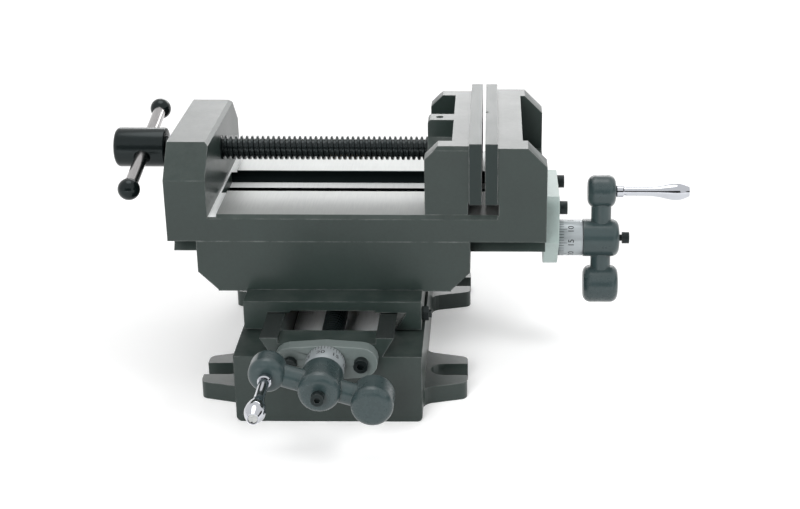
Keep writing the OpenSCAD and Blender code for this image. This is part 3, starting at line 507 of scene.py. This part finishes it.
def add_thread(mesh, start, end, outer_r, depth, pitch):
    """Right-hand trapezoid thread between two flat ends"""
    segments = SCREW_SEGMENTS
    crest = 0.366
    shape = [(0.0, 0.0), (crest, 0.0), (0.5, depth), (0.5 + crest, depth)]
    # Spare turns past both ends, cut off below
    early, late = 2, 1
    turns = early + int(math.ceil((end - start) / pitch)) + late
    screw = bmesh.new()
    columns = []
    for j in range(segments):
        a = TURN * j / segments
        column = []
        for turn in range(turns):
            for part, sink in shape:
                along = start + (turn - early + part + j / segments) * pitch
                radius = outer_r - sink
                column.append(screw.verts.new((along, radius * math.cos(a), radius * math.sin(a))))
        columns.append(column)
    rows = len(columns[0])
    for j in range(segments):
        after = columns[(j + 1) % segments]
        shift = len(shape) if j == segments - 1 else 0
        for k in range(rows - 1 - shift):
            screw.faces.new((columns[j][k], after[k + shift], after[k + 1 + shift], columns[j][k + 1]))
    for place, keep_after in ((start, True), (end, False)):
        everything = screw.verts[:] + screw.edges[:] + screw.faces[:]
        bmesh.ops.bisect_plane(screw, geom=everything, dist=1e-7, plane_co=(place, 0, 0), plane_no=(1, 0, 0),
                               clear_inner=keep_after, clear_outer=not keep_after)
    loose = [v for v in screw.verts if not v.link_faces]
    bmesh.ops.delete(screw, geom=loose, context="VERTS")
    bmesh.ops.holes_fill(screw, edges=[e for e in screw.edges if e.is_boundary], sides=0)
    copy = bpy.data.meshes.new("thread")
    screw.to_mesh(copy)
    screw.free()
    mesh.from_mesh(copy)
    bpy.data.meshes.remove(copy)


def new_piece(name, mesh, place, material, smooth_deg=34):
    bmesh.ops.transform(mesh, matrix=place, verts=mesh.verts[:])
    bmesh.ops.recalc_face_normals(mesh, faces=mesh.faces[:])
    data = bpy.data.meshes.new(name)
    mesh.to_mesh(data)
    mesh.free()
    data.shade_smooth()
    data.set_sharp_from_angle(angle=math.radians(smooth_deg))
    data.materials.append(material)
    piece = bpy.data.objects.new(name, data)
    bpy.context.scene.collection.objects.link(piece)
    return piece


def cut_from(piece, cutter):
    """Takes the cutter's shape out of the piece and removes the cutter"""
    tool = piece.modifiers.new("Cut", "BOOLEAN")
    tool.operation = "DIFFERENCE"
    tool.solver = "EXACT"
    tool.object = cutter
    graph = bpy.context.evaluated_depsgraph_get()
    result = bpy.data.meshes.new_from_object(piece.evaluated_get(graph))
    piece.modifiers.clear()
    old = piece.data
    piece.data = result
    bpy.data.meshes.remove(old)
    spare = cutter.data
    bpy.data.objects.remove(cutter)
    bpy.data.meshes.remove(spare)


def middle_of(node):
    low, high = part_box(node)
    return (low + high) / 2


def x_axis_at(node):
    centre = middle_of(node)
    return Matrix.Translation((0, centre.y, centre.z))


def y_axis_at(node):
    """Own +X axis turned towards the front"""
    centre = middle_of(node)
    return Matrix.Translation((centre.x, 0, centre.z)) @ Matrix.Rotation(-math.pi / 2, 4, "Z")


def ends_along(low, high, along_x):
    """Start and end of a box on the own axis of a piece that runs along x, or else towards the front"""
    return (low.x, high.x) if along_x else (-high.y, -low.y)


class VISE_OT_castings(bpy.types.Operator):
    """Paint the base, saddle, vise body and moving jaw, with their machined ways in metal finishes, painted
    highlight on the slot ledges and relief groove, painted light on the channel floor and painted shade on
    the slot's rear walls
    """
    bl_idname = "cross_vise.castings"
    bl_label = "Castings"

    def execute(self, context):
        areas = {
            "base_casting": [
                area(RAIL_TOPS, FACES_UP, "rail", metallic=1.0, roughness=0.25),
                area(RAIL_FLANKS, FACES_UNDERCUT, "ground", metallic=0.7, roughness=0.40),
                # Painted light: the channel floor lies in shade under the saddle and is coloured pale as if
                # lit.
                area(CHANNEL_FLOOR, FACES_UP, "bare", metallic=0.0, roughness=0.60)],
            "saddle": [
                area(SADDLE_TOP, FACES_UP, "way", metallic=0.7, roughness=0.40),
                area(SADDLE_FLANKS, FACES_UNDERCUT, "ground", metallic=0.7, roughness=0.40)],
            "vise_body": [
                area(BED_TOP, FACES_UP, "way", metallic=0.75, roughness=0.42),
                # Painted highlight: the relief groove floor and the slot ledges are coloured near white as if
                # catching the light.
                area(RELIEF_FLOOR, FACES_UP, "bare", metallic=0.0, roughness=0.45),
                area(SLOT_LEDGES, FACES_UP, "bare", metallic=0.0, roughness=0.45),
                # Painted shade: the slot's rear walls, which face forward, are coloured black to stand for
                # the shade inside the slot.
                area(SLOT_WALL_SHADE, FACES_FORWARD, "black", metallic=1.0, roughness=0.40, reach=SLOT_REACH)],
            "moving_jaw": [],
        }
        for name in CASTINGS:
            finish_nodes([name], painted(name + "_paint", "casting", areas[name]))
        break_edges(CASTINGS, sizes().casting_edge)
        return {"FINISHED"}


class VISE_OT_cranks(bpy.types.Operator):
    """Paint the cranks and both end plates"""
    bl_idname = "cross_vise.cranks"
    bl_label = "Cranks and end plates"

    def execute(self, context):
        finish_nodes(CRANKS, painted("crank_gloss_paint", "crank", roughness=0.28, wear=0.12, mottle=0.07,
                                     dust=0.05, grain=300.0))
        # The right plate takes the lighter tone as painted light, the front plate the darker tone as painted
        # shade.
        for name, paint in zip(END_PLATES, ("long_plate", "cross_plate")):
            finish_nodes([name], painted(name + "_paint", paint, roughness=0.40, mottle=0.06, dust=0.05))
        break_edges(END_PLATES, sizes().plate_edge)
        return {"FINISHED"}


class VISE_OT_jaws(bpy.types.Operator):
    """Ground jaw plates, gib strips, keeper and handle studs, and bronze nuts"""
    bl_idname = "cross_vise.jaws"
    bl_label = "Jaw plates, gibs and nuts"

    def execute(self, context):
        finish_nodes(JAW_PLATES, jaw_steel("jaw_plate_steel"))
        break_edges(JAW_PLATES, sizes().plate_edge)
        finish_nodes(GROUND_STEEL, bare_metal("ground_steel", "ground", metallic=1.0, roughness=0.30,
                                              stretch=(0.06, 0.06, 1.0)))
        finish_nodes(NUTS, bare_metal("nut_bronze_turned", "bronze", metallic=1.0, roughness=0.34))
        return {"FINISHED"}


class VISE_OT_fasteners(bpy.types.Operator):
    """Blackened cap screws, gib screws, lock nuts, ball ends and pin, and the bright tommy bar"""
    bl_idname = "cross_vise.fasteners"
    bl_label = "Screws and tommy bar"

    def execute(self, context):
        screws = bare_metal("black_oxide_screws", "black", metallic=0.55, roughness=0.40, wear=0.12)
        finish_nodes(CAP_SCREWS + GIB_SCREWS, screws)
        along_bar = (1.0, 0.08, 0.4)
        balls = bare_metal("black_oxide_balls", "black", metallic=0.55, roughness=0.18,
                           stretch=along_bar, wear=0.0)
        finish_nodes(TURNED_STEEL, balls)
        bar = bare_metal("rubbed_bar", "bar", metallic=1.0, roughness=0.18, stretch=along_bar, wear=0.0)
        finish_nodes(RUBBED_STEEL, bar)
        break_edges(CAP_SCREWS + GIB_SCREWS, sizes().screw_edge)
        return {"FINISHED"}


class VISE_OT_vise_screw(bpy.types.Operator):
    """Threaded vise screw with its cross-drilled head and plain nose"""
    bl_idname = "cross_vise.vise_screw"
    bl_label = "Vise screw"

    def execute(self, context):
        size = sizes()
        low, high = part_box("vise_screw")
        head_r = (high.z - low.z) / 2
        head_l, outer_round, inner_round = 38 * MM, 3.5 * MM, 1.2 * MM
        screw_r, nose_r, nose_l = 9 * MM, 7 * MM, 21.8 * MM
        lap, nose_break = 1 * MM, 1 * MM
        head_end = low.x + head_l
        shoulder = high.x - nose_l
        mesh = bmesh.new()
        profile = [(low.x, 0)] + rounded_end(low.x, head_r, outer_round, -1)
        profile += rounded_end(head_end, head_r, inner_round, 1) + [(head_end, 0)]
        add_lathe(mesh, profile)
        place = x_axis_at("vise_screw")
        black = bare_metal("black_oxide_screw", "black", metallic=0.55, roughness=0.24,
                           stretch=(0.3, 1.0, 1.0), wear=0.10)
        piece = new_piece("vise_screw_threaded", mesh, place, black)
        bar_low, bar_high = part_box("tommy_bar")
        centre = (bar_low + bar_high) / 2
        way = Vector((0, bar_high.y - bar_low.y, bar_high.z - bar_low.z)).normalized()
        hole = bmesh.new()
        hole_r, mouth_r, mouth_d, reach = 4.85 * MM, 6.3 * MM, 1.6 * MM, 24 * MM
        mouth = head_r - mouth_d
        add_lathe(hole, [(-reach, 0), (-reach, mouth_r + reach - head_r), (-mouth, hole_r), (mouth, hole_r),
                         (reach, mouth_r + reach - head_r), (reach, 0)])
        turned = Vector((1, 0, 0)).rotation_difference(way).to_matrix().to_4x4()
        cutter = new_piece("cross_hole", hole, Matrix.Translation(centre) @ turned, black)
        cut_from(piece, cutter)
        rod = bmesh.new()
        add_thread(rod, head_end - lap, shoulder, screw_r, size.thread_depth, size.pitch)
        add_lathe(rod, [(shoulder - lap, 0), (shoulder - lap, nose_r), (high.x - nose_break, nose_r),
                        (high.x, nose_r - nose_break), (high.x, 0)], SCREW_SEGMENTS)
        bmesh.ops.transform(rod, matrix=place, verts=rod.verts[:])
        rod.from_mesh(piece.data)
        spare = piece.data
        bpy.data.objects.remove(piece)
        bpy.data.meshes.remove(spare)
        piece = new_piece("vise_screw_threaded", rod, Matrix.Identity(4), black)
        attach(piece, "vise_screw")
        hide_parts("vise_screw")
        return {"FINISHED"}


class VISE_OT_lead_screws(bpy.types.Operator):
    """Both threaded lead screws with their thrust collars and journals"""
    bl_idname = "cross_vise.lead_screws"
    bl_label = "Lead screws"

    def execute(self, context):
        size = sizes()
        black = bare_metal("black_oxide_lead", "black", metallic=0.6, roughness=0.30,
                           stretch=(0.3, 1.0, 1.0), wear=0.08)
        lead_r, lead_depth, collar_r, journal_r = 8 * MM, 1.9 * MM, 9.5 * MM, 6 * MM
        collar_t, gap, journal_l, end_break = 4 * MM, 0.3 * MM, 50.8 * MM, 1 * MM
        for name, body, place in (("x_lead_screw", "x_screw", x_axis_at("x_lead_screw")),
                                  ("y_lead_screw", "y_screw", y_axis_at("y_lead_screw"))):
            low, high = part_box(name)
            start, end = ends_along(low, high, body == "x_screw")
            face = end - journal_l
            collar = face - gap - collar_t
            mesh = bmesh.new()
            add_thread(mesh, start, collar, lead_r, lead_depth, size.pitch)
            add_lathe(mesh, [(collar, 0), (collar, collar_r), (face - gap, collar_r), (face - gap, journal_r),
                             (end - end_break, journal_r), (end, journal_r - end_break), (end, 0)],
                      SCREW_SEGMENTS)
            piece = new_piece(name + "_threaded", mesh, place, black)
            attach(piece, body)
            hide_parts(name)
        return {"FINISHED"}


# Font size over digit height, and how far a number's middle lies past its mark in digit heights
FONT_SHARE = 1.35
NUMBER_SHIFT = 0.72


def add_mark(mesh, turn, start, end, radius, width, lift):
    half = width / 2 / radius
    ring = []
    for along in (start, end):
        for r in (radius - lift, radius + lift):
            for a in (turn - half, turn + half):
                ring.append(mesh.verts.new((along, r * math.cos(a), r * math.sin(a))))
    for corners in ((0, 1, 3, 2), (4, 5, 7, 6), (0, 1, 5, 4), (2, 3, 7, 6), (0, 2, 6, 4), (1, 3, 7, 5)):
        mesh.faces.new([ring[i] for i in corners])


def add_number(mesh, number, turn, along, radius, height, lift):
    """Raised number wrapped round a dial, its top towards the marks"""
    curve = bpy.data.curves.new("numeral", "FONT")
    curve.body = str(number)
    curve.size = height * FONT_SHARE
    curve.align_x = "CENTER"
    curve.align_y = "CENTER"
    curve.extrude = lift
    curve.offset = 0.05 * MM
    curve.resolution_u = 4
    letter = bpy.data.objects.new("numeral", curve)
    bpy.context.scene.collection.objects.link(letter)
    graph = bpy.context.evaluated_depsgraph_get()
    flat = bpy.data.meshes.new_from_object(letter.evaluated_get(graph))
    for vertex in flat.vertices:
        right, up, out = vertex.co
        a = turn - right / radius
        r = radius + out
        vertex.co = (along - up, r * math.cos(a), r * math.sin(a))
    mesh.from_mesh(flat)
    bpy.data.objects.remove(letter)
    bpy.data.curves.remove(curve)
    bpy.data.meshes.remove(flat)


class VISE_OT_dials(bpy.types.Operator):
    """Satin dials with their marks and numbers"""
    bl_idname = "cross_vise.dials"
    bl_label = "Dials"

    def execute(self, context):
        size = sizes()
        finish_nodes(DIALS, bare_metal("dial_satin_silver", "dial", metallic=0.35, roughness=0.34,
                                       stretch=(0.2, 1.0, 1.0), mottle=0.03, wear=0.0, strength=0.04))
        break_edges(DIALS, size.plate_edge)
        ink = bare_metal("dial_ink", "ink", metallic=0.0, roughness=0.6, wear=0.0)
        lift, edge_gap = 0.04 * MM, 0.1 * MM
        step = TURN / size.divisions
        for name, body, place, zero in (("x_dial", "x_screw", x_axis_at("x_dial"), size.x_dial_zero),
                                        ("y_dial", "y_screw", y_axis_at("y_dial"), size.y_dial_zero)):
            low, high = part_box(name)
            radius = (high.z - low.z) / 2
            start = ends_along(low, high, body == "x_screw")[0]
            edge = start + size.plate_edge + edge_gap
            number_at = start + size.long_mark + size.number_height * NUMBER_SHIFT
            mesh = bmesh.new()
            for n in range(size.divisions):
                long_one = n % size.numbered == 0
                reach = size.long_mark if long_one else size.short_mark
                add_mark(mesh, zero + n * step, edge, start + reach, radius, size.mark_width, lift)
                if long_one:
                    add_number(mesh, n, zero + n * step, number_at, radius, size.number_height, lift)
            piece = new_piece(name + "_marks", mesh, place, ink)
            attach(piece, body)
        return {"FINISHED"}


def grip_radius(part):
    """Share of the handle's full radius at a share of its shank: thin neck, drop-shaped bulb, blunt end"""
    neck_share, neck_power, widest, end_share = 0.51, 8, 0.8, 0.56
    if part < widest:
        return neck_share + (1 - neck_share) * math.sin(math.pi / 2 * part / widest) ** neck_power
    return end_share + (1 - end_share) * math.cos(math.pi / 2 * (part - widest) / (1 - widest))


class VISE_OT_handles(bpy.types.Operator):
    """Polished revolving handles, turned smooth, with their bores for the studs"""
    bl_idname = "cross_vise.handles"
    bl_label = "Handles"

    def execute(self, context):
        chrome = bare_metal("polished_chrome", "chrome", metallic=1.0, roughness=0.10,
                            stretch=(0.2, 1.0, 1.0), mottle=0.02, wear=0.0, strength=0.01)
        finish_nodes(HANDLES, chrome)
        collar, groove, break_r = 6 * MM, 1.4 * MM, 0.8 * MM
        bore_r, recess_r, recess_l = 2.55 * MM, 3.3 * MM, 3.4 * MM
        collar_share, groove_share = 0.68, 0.48
        steps, segments, smooth_deg = 64, 72, 40
        same_place = 1e-6
        for name, body, place in (("x_handle_grip", "x_handle", x_axis_at("x_handle_grip")),
                                  ("y_handle_grip", "y_handle", y_axis_at("y_handle_grip"))):
            low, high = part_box(name)
            start, end = ends_along(low, high, body == "x_handle")
            full_r = (high.z - low.z) / 2
            collar_r, groove_r = full_r * collar_share, full_r * groove_share
            neck = start + collar + groove
            profile = [(start, bore_r), (start, collar_r - break_r), (start + break_r, collar_r),
                       (start + collar - break_r, collar_r), (start + collar, collar_r - break_r),
                       (start + collar, groove_r), (neck, groove_r)]
            for i in range(steps + 1):
                profile.append((neck + (end - neck) * i / steps, full_r * grip_radius(i / steps)))
            profile += [(end, recess_r), (end - recess_l, recess_r), (end - recess_l, bore_r)]
            profile.append((start, bore_r))
            mesh = bmesh.new()
            add_lathe(mesh, profile, segments)
            bmesh.ops.remove_doubles(mesh, verts=mesh.verts[:], dist=same_place)
            piece = new_piece(name + "_turned", mesh, place, chrome, smooth_deg)
            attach(piece, body)
            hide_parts(name)
        return {"FINISHED"}


# Studio, in metres and watts: name, place, power, width and height of each lamp. The front light is two
# lamps in one place. Flat tops seen from behind would mirror the strong one, so it is never mirrored,
# and the weak one is seen only in reflections.
FRONT_PLACE = (-0.5, -1.9, 0.95)
LAMPS = (
    ("key_lamp", (1.7, -0.35, 1.15), 20.0, 0.9, 0.9),
    ("top_lamp", (-0.1, 0.25, 1.8), 9.0, 1.2, 1.2),
    ("back_lamp", (0.2, 1.8, 0.74), 10.0, 2.0, 0.5),
    ("front_lamp", FRONT_PLACE, 37.0, 1.0, 1.2),
    ("front_sheen_lamp", FRONT_PLACE, 9.0, 1.0, 1.2),
)
NEVER_MIRRORED = ("key_lamp", "front_lamp")
ONLY_MIRRORED = ("front_sheen_lamp",)
LAMP_AIM = (0.03, 0.0, 0.10)
FLAGS = (
    ("front_flag", ((-1.6, -2.6, 0.25), (1.6, -2.6, 0.25), (1.6, -2.6, 1.5), (-1.6, -2.6, 1.5))),
    ("side_flag", ((2.6, -1.6, 0.05), (2.6, 1.2, 0.05), (2.6, 1.2, 0.95), (2.6, -1.6, 0.95))),
)
FLOOR_REACH = 6.0
# Glow of the floor: near and far distance, then the strength at each
FLOOR_GLOW = (0.8, 2.2, 0.22, 0.85)
# Camera fitted to the photo: place in metres, angles in degrees, lens and sensor in millimetres
CAMERA_PLACE = (0.1145, -1.0932, 0.5180)
CAMERA_TILT = 67.8
CAMERA_ROLL = 0.22
CAMERA_LENS = 68.31
CAMERA_SENSOR = 36.0
CAMERA_SHIFT = -0.1145
CAMERA_NEAR = 0.05


def white_world():
    """White to the camera and in reflections, dimmer as a light"""
    dim, full = 0.30, 1.0
    world = bpy.data.worlds.new("Studio")
    world.use_nodes = True
    tree = world.node_tree
    background = tree.nodes["Background"]
    background.inputs["Color"].default_value = WHITE
    path = tree.nodes.new("ShaderNodeLightPath").outputs
    seen = math_of(tree, "MAXIMUM", path["Is Camera Ray"], path["Is Glossy Ray"])
    seen = math_of(tree, "MAXIMUM", seen, path["Is Transmission Ray"])
    feed(tree, background.inputs["Strength"], mix_values(tree, seen, dim, full))
    bpy.context.scene.world = world


def add_lamp(name, place, power, width, height):
    data = bpy.data.lights.new(name, "AREA")
    data.shape = "ELLIPSE"
    data.size = width
    data.size_y = height
    data.energy = power
    lamp = bpy.data.objects.new(name, data)
    lamp.location = place
    lamp.rotation_euler = (Vector(LAMP_AIM) - Vector(place)).to_track_quat("-Z", "Y").to_euler()
    lamp.visible_camera = False
    lamp.visible_glossy = name not in NEVER_MIRRORED
    lamp.visible_diffuse = name not in ONLY_MIRRORED
    bpy.context.scene.collection.objects.link(lamp)


def add_flag(name, corners):
    """Dark studio flag that only polished faces mirror"""
    mesh = bmesh.new()
    mesh.faces.new([mesh.verts.new(corner) for corner in corners])
    material, tree, sockets = new_material(name)
    cloud = spread(tree, noise(tree, here(tree), scale=3.0), 0.3, 0.7, 0.01, 0.03)
    feed(tree, sockets["Base Color"], scaled_colour(tree, WHITE, cloud))
    sockets["Roughness"].default_value = 1.0
    flag = new_piece(name, mesh, Matrix.Identity(4), material)
    flag.visible_camera = False
    flag.visible_diffuse = False
    flag.visible_shadow = False


def add_floor():
    """Pale floor with a glow for the camera and for reflections"""
    mesh = bmesh.new()
    corners = ((-1, -1), (1, -1), (1, 1), (-1, 1))
    mesh.faces.new([mesh.verts.new((FLOOR_REACH * x, FLOOR_REACH * y, CAD_BOX[0][2])) for x, y in corners])
    material, tree, sockets = new_material("studio_floor")
    cloud = spread(tree, noise(tree, here(tree), scale=3.0), 0.3, 0.7, 0.99, 1.0)
    feed(tree, sockets["Base Color"], scaled_colour(tree, tint("floor"), cloud))
    sockets["Roughness"].default_value = 0.9
    sockets["Specular IOR Level"].default_value = 0.1
    sockets["Emission Color"].default_value = WHITE
    path = tree.nodes.new("ShaderNodeLightPath").outputs
    seen = math_of(tree, "MAXIMUM", path["Is Camera Ray"], path["Is Glossy Ray"])
    away = tree.nodes.new("ShaderNodeVectorMath")
    away.operation = "LENGTH"
    feed(tree, away.inputs[0], here(tree))
    glow = spread(tree, away.outputs["Value"], *FLOOR_GLOW)
    feed(tree, sockets["Emission Strength"], math_of(tree, "MULTIPLY", seen, glow))
    floor = new_piece("studio_floor", mesh, Matrix.Identity(4), material)


def add_camera(scene):
    data = bpy.data.cameras.new("photo_camera")
    data.sensor_fit = "HORIZONTAL"
    data.sensor_width = CAMERA_SENSOR
    data.lens = CAMERA_LENS
    data.shift_x = CAMERA_SHIFT
    data.clip_start = CAMERA_NEAR
    camera = bpy.data.objects.new("photo_camera", data)
    scene.collection.objects.link(camera)
    tilt = Matrix.Rotation(math.radians(CAMERA_TILT), 4, "X")
    roll = Matrix.Rotation(math.radians(CAMERA_ROLL), 4, "Z")
    camera.matrix_world = Matrix.Translation(CAMERA_PLACE) @ tilt @ roll
    scene.camera = camera


class VISE_OT_stage(bpy.types.Operator):
    """Pale floor, dark flags, soft studio lamps and the camera"""
    bl_idname = "cross_vise.stage"
    bl_label = "Studio"

    def execute(self, context):
        scene = context.scene
        scene.view_settings.view_transform = "Standard"
        white_world()
        add_floor()
        for name, corners in FLAGS:
            add_flag(name, corners)
        for lamp in LAMPS:
            add_lamp(*lamp)
        add_camera(scene)
        return {"FINISHED"}


PIECES = (VISE_OT_castings, VISE_OT_cranks, VISE_OT_jaws, VISE_OT_fasteners, VISE_OT_vise_screw,
          VISE_OT_lead_screws, VISE_OT_dials, VISE_OT_handles, VISE_OT_stage)


class VISE_PT_pieces(bpy.types.Panel):
    """Finishing steps of the vise, with their sizes and colours"""
    bl_idname = "VISE_PT_pieces"
    bl_label = "Cross vise"
    bl_space_type = "VIEW_3D"
    bl_region_type = "UI"
    bl_category = "Cross vise"

    def draw(self, context):
        for operator in PIECES:
            self.layout.operator(operator.bl_idname)
        for group in (context.scene.cross_vise_sizes, context.scene.cross_vise_finishes):
            box = self.layout.box()
            for name in group.__annotations__:
                box.prop(group, name)


CLASSES = (VISE_PG_sizes, VISE_PG_finishes, *PIECES, VISE_PT_pieces)


def register():
    for item in CLASSES:
        bpy.utils.register_class(item)
    bpy.types.Scene.cross_vise_sizes = PointerProperty(type=VISE_PG_sizes)
    bpy.types.Scene.cross_vise_finishes = PointerProperty(type=VISE_PG_finishes)


def unregister():
    del bpy.types.Scene.cross_vise_finishes
    del bpy.types.Scene.cross_vise_sizes
    for item in reversed(CLASSES):
        bpy.utils.unregister_class(item)


def main():
    register()
    for operator in PIECES:
        group, name = operator.bl_idname.split(".")
        getattr(getattr(bpy.ops, group), name)()


if __name__ == "__main__":
    main()
